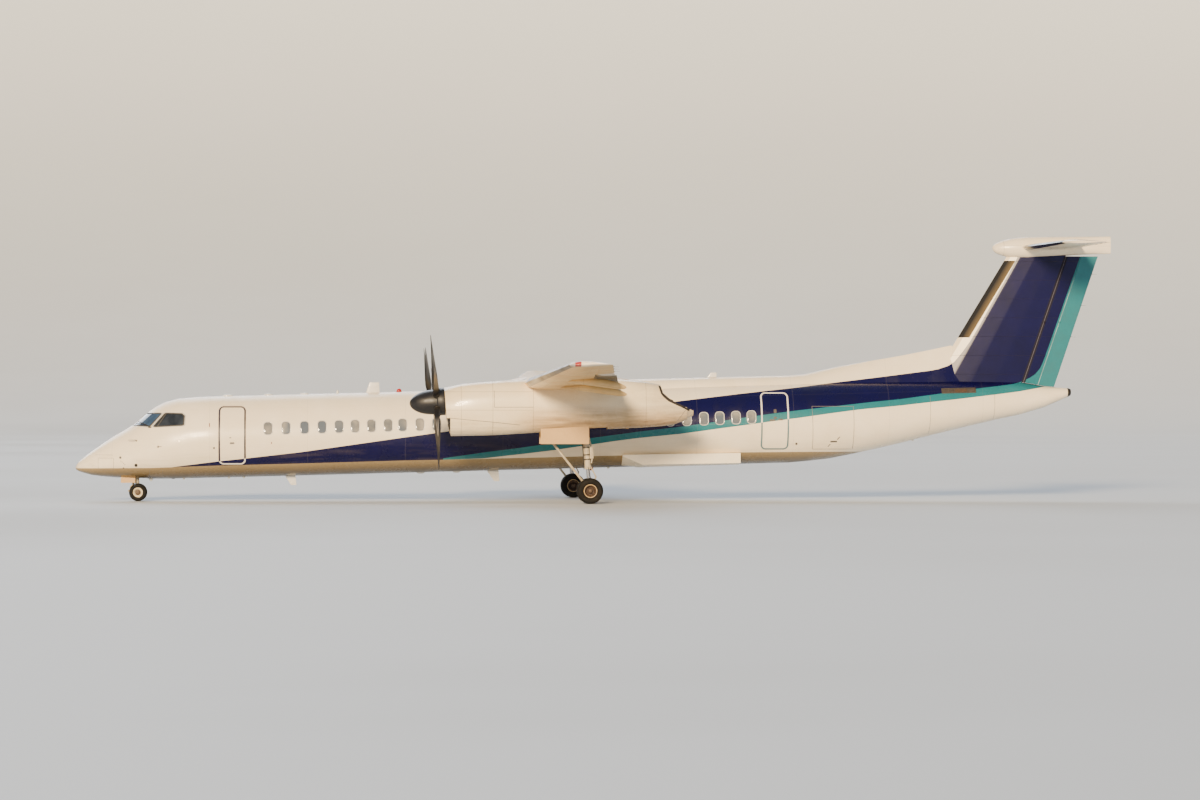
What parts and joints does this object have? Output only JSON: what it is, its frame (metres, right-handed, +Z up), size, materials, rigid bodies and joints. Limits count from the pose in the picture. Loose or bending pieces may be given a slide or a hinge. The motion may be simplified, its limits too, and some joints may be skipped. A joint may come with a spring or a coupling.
{
  "type": "twin-engined turboprop airliner",
  "caption": "High-wing turboprop airliner with a T-tail, nacelle-mounted wheels, turning propellers, control surfaces, steered nose wheels and an airstair door.",
  "frame": {"origin": "centre of the bounding box's footprint, on the ground", "axes": "+X towards the tail, +Y to starboard, +Z up"},
  "size_m": [32.83, 28.42, 8.4],
  "materials": {
    "white_paint": "gloss",
    "cream_paint": "gloss",
    "blue_paint": "gloss",
    "teal_paint": "gloss",
    "black_paint": "satin",
    "glazing": "clear",
    "cabin_plastic": "matt",
    "dark_metal": "heat-stained",
    "gear_steel": "satin",
    "tyre_rubber": "matt",
    "rim_alloy": "satin"
  },
  "bodies": {
    "airframe": {"fuselage": "white_paint", "radome": "white_paint", "aft_passenger_door": "white_paint", "belly_fairing": "white_paint", "dorsal_spine": "white_paint", "bullet_fairing": "white_paint", "tailplane": "white_paint", "wing_centre": "white_paint", "inner_flap_left": "white_paint", "inner_flap_right": "white_paint", "flap_left": "white_paint", "flap_right": "white_paint", "cowling_left": "white_paint", "cowling_right": "white_paint", "nacelle_left": "white_paint", "nacelle_right": "white_paint", "main_gear_doors_left": "white_paint", "main_gear_doors_right": "white_paint", "nose_gear_doors": "white_paint", "wing_left": "cream_paint", "wing_right": "cream_paint", "fin": "blue_paint", "windshield_left": "glazing", "windshield_right": "glazing", "side_window_left": "glazing", "side_window_right": "glazing", "flight_deck": "cabin_plastic", "engine_left": "dark_metal", "engine_right": "dark_metal", "jet_pipe_left": "dark_metal", "jet_pipe_right": "dark_metal", "main_leg_left": "gear_steel", "main_leg_right": "gear_steel", "nose_leg": "gear_steel"},
    "propeller_left": {"spinner_left": "black_paint", "propeller_left": "black_paint"},
    "propeller_right": {"spinner_right": "black_paint", "propeller_right": "black_paint"},
    "main_wheels_left": {"main_left_tyre_port": "tyre_rubber", "main_left_tyre_starboard": "tyre_rubber", "main_left_rim_port": "rim_alloy", "main_left_rim_starboard": "rim_alloy"},
    "main_wheels_right": {"main_right_tyre_port": "tyre_rubber", "main_right_tyre_starboard": "tyre_rubber", "main_right_rim_port": "rim_alloy", "main_right_rim_starboard": "rim_alloy"},
    "nose_steering": {"nose_fork": "gear_steel"},
    "nose_wheels": {"nose_tyre_port": "tyre_rubber", "nose_rim_port": "rim_alloy", "nose_tyre_starboard": "tyre_rubber", "nose_rim_starboard": "rim_alloy"},
    "airstair": {"airstair_door": "white_paint"},
    "fore_rudder": {"fore_rudder": "blue_paint"},
    "rear_rudder": {"rear_rudder": "teal_paint"},
    "elevators": {"elevator_left": "white_paint", "elevator_right": "white_paint"},
    "aileron_left": {"aileron_left": "cream_paint"},
    "aileron_right": {"aileron_right": "cream_paint"}
  },
  "joints": [
    {"name": "propeller_left_spin", "type": "hinge", "parent": "airframe", "child": "propeller_left", "pos_m": [-5.258, -4.41, 3.109], "axis": [0.998, 0, 0.0628], "continuous": true},
    {"name": "propeller_right_spin", "type": "hinge", "parent": "airframe", "child": "propeller_right", "pos_m": [-5.258, 4.41, 3.109], "axis": [0.998, 0, 0.0628], "continuous": true},
    {"name": "main_wheels_left_roll", "type": "hinge", "parent": "airframe", "child": "main_wheels_left", "pos_m": [-0.522, -4.395, 0.394], "axis": [0, 1, 0], "continuous": true},
    {"name": "main_wheels_right_roll", "type": "hinge", "parent": "airframe", "child": "main_wheels_right", "pos_m": [-0.522, 4.395, 0.394], "axis": [0, 1, 0], "continuous": true},
    {"name": "nose_steer", "type": "hinge", "parent": "airframe", "child": "nose_steering", "pos_m": [-14.507, 0, 0.6], "axis": [0, 0, 1], "range_deg": [-70, 70]},
    {"name": "nose_wheels_roll", "type": "hinge", "parent": "nose_steering", "child": "nose_wheels", "pos_m": [-14.462, 0, 0.2795], "axis": [0, 1, 0], "continuous": true},
    {"name": "airstair_swing", "type": "hinge", "parent": "airframe", "child": "airstair", "pos_m": [-11.49, -0.9912, 1.147], "axis": [0.9998, 0.0182, 0], "range_deg": [0, 120]},
    {"name": "fore_rudder_turn", "type": "hinge", "parent": "airframe", "child": "fore_rudder", "pos_m": [13.635, 0, 3.79], "axis": [0.3256, 0, 0.9455], "range_deg": [-18, 18]},
    {"name": "rear_rudder_turn", "type": "hinge", "parent": "fore_rudder", "child": "rear_rudder", "pos_m": [14.465, 0, 4.78], "axis": [0.3256, 0, 0.9455], "range_deg": [-18, 18]},
    {"name": "elevators_turn", "type": "hinge", "parent": "airframe", "child": "elevators", "pos_m": [14.955, 0, 8.042], "axis": [0, 1, 0], "range_deg": [-25, 20]},
    {"name": "aileron_left_turn", "type": "hinge", "parent": "airframe", "child": "aileron_left", "pos_m": [-0.7021, -10.47, 3.98136], "axis": [0.0313, 0.9982, -0.0519], "range_deg": [-17, 17]},
    {"name": "aileron_right_turn", "type": "hinge", "parent": "airframe", "child": "aileron_right", "pos_m": [-0.7021, 10.47, 3.98136], "axis": [-0.0313, 0.9982, 0.0519], "range_deg": [-17, 17]}
  ],
  "couplings": [
    {"joint": "rear_rudder_turn", "follows": "fore_rudder_turn", "ratio": 1},
    {"joint": "aileron_right_turn", "follows": "aileron_left_turn", "ratio": -1}
  ]
}
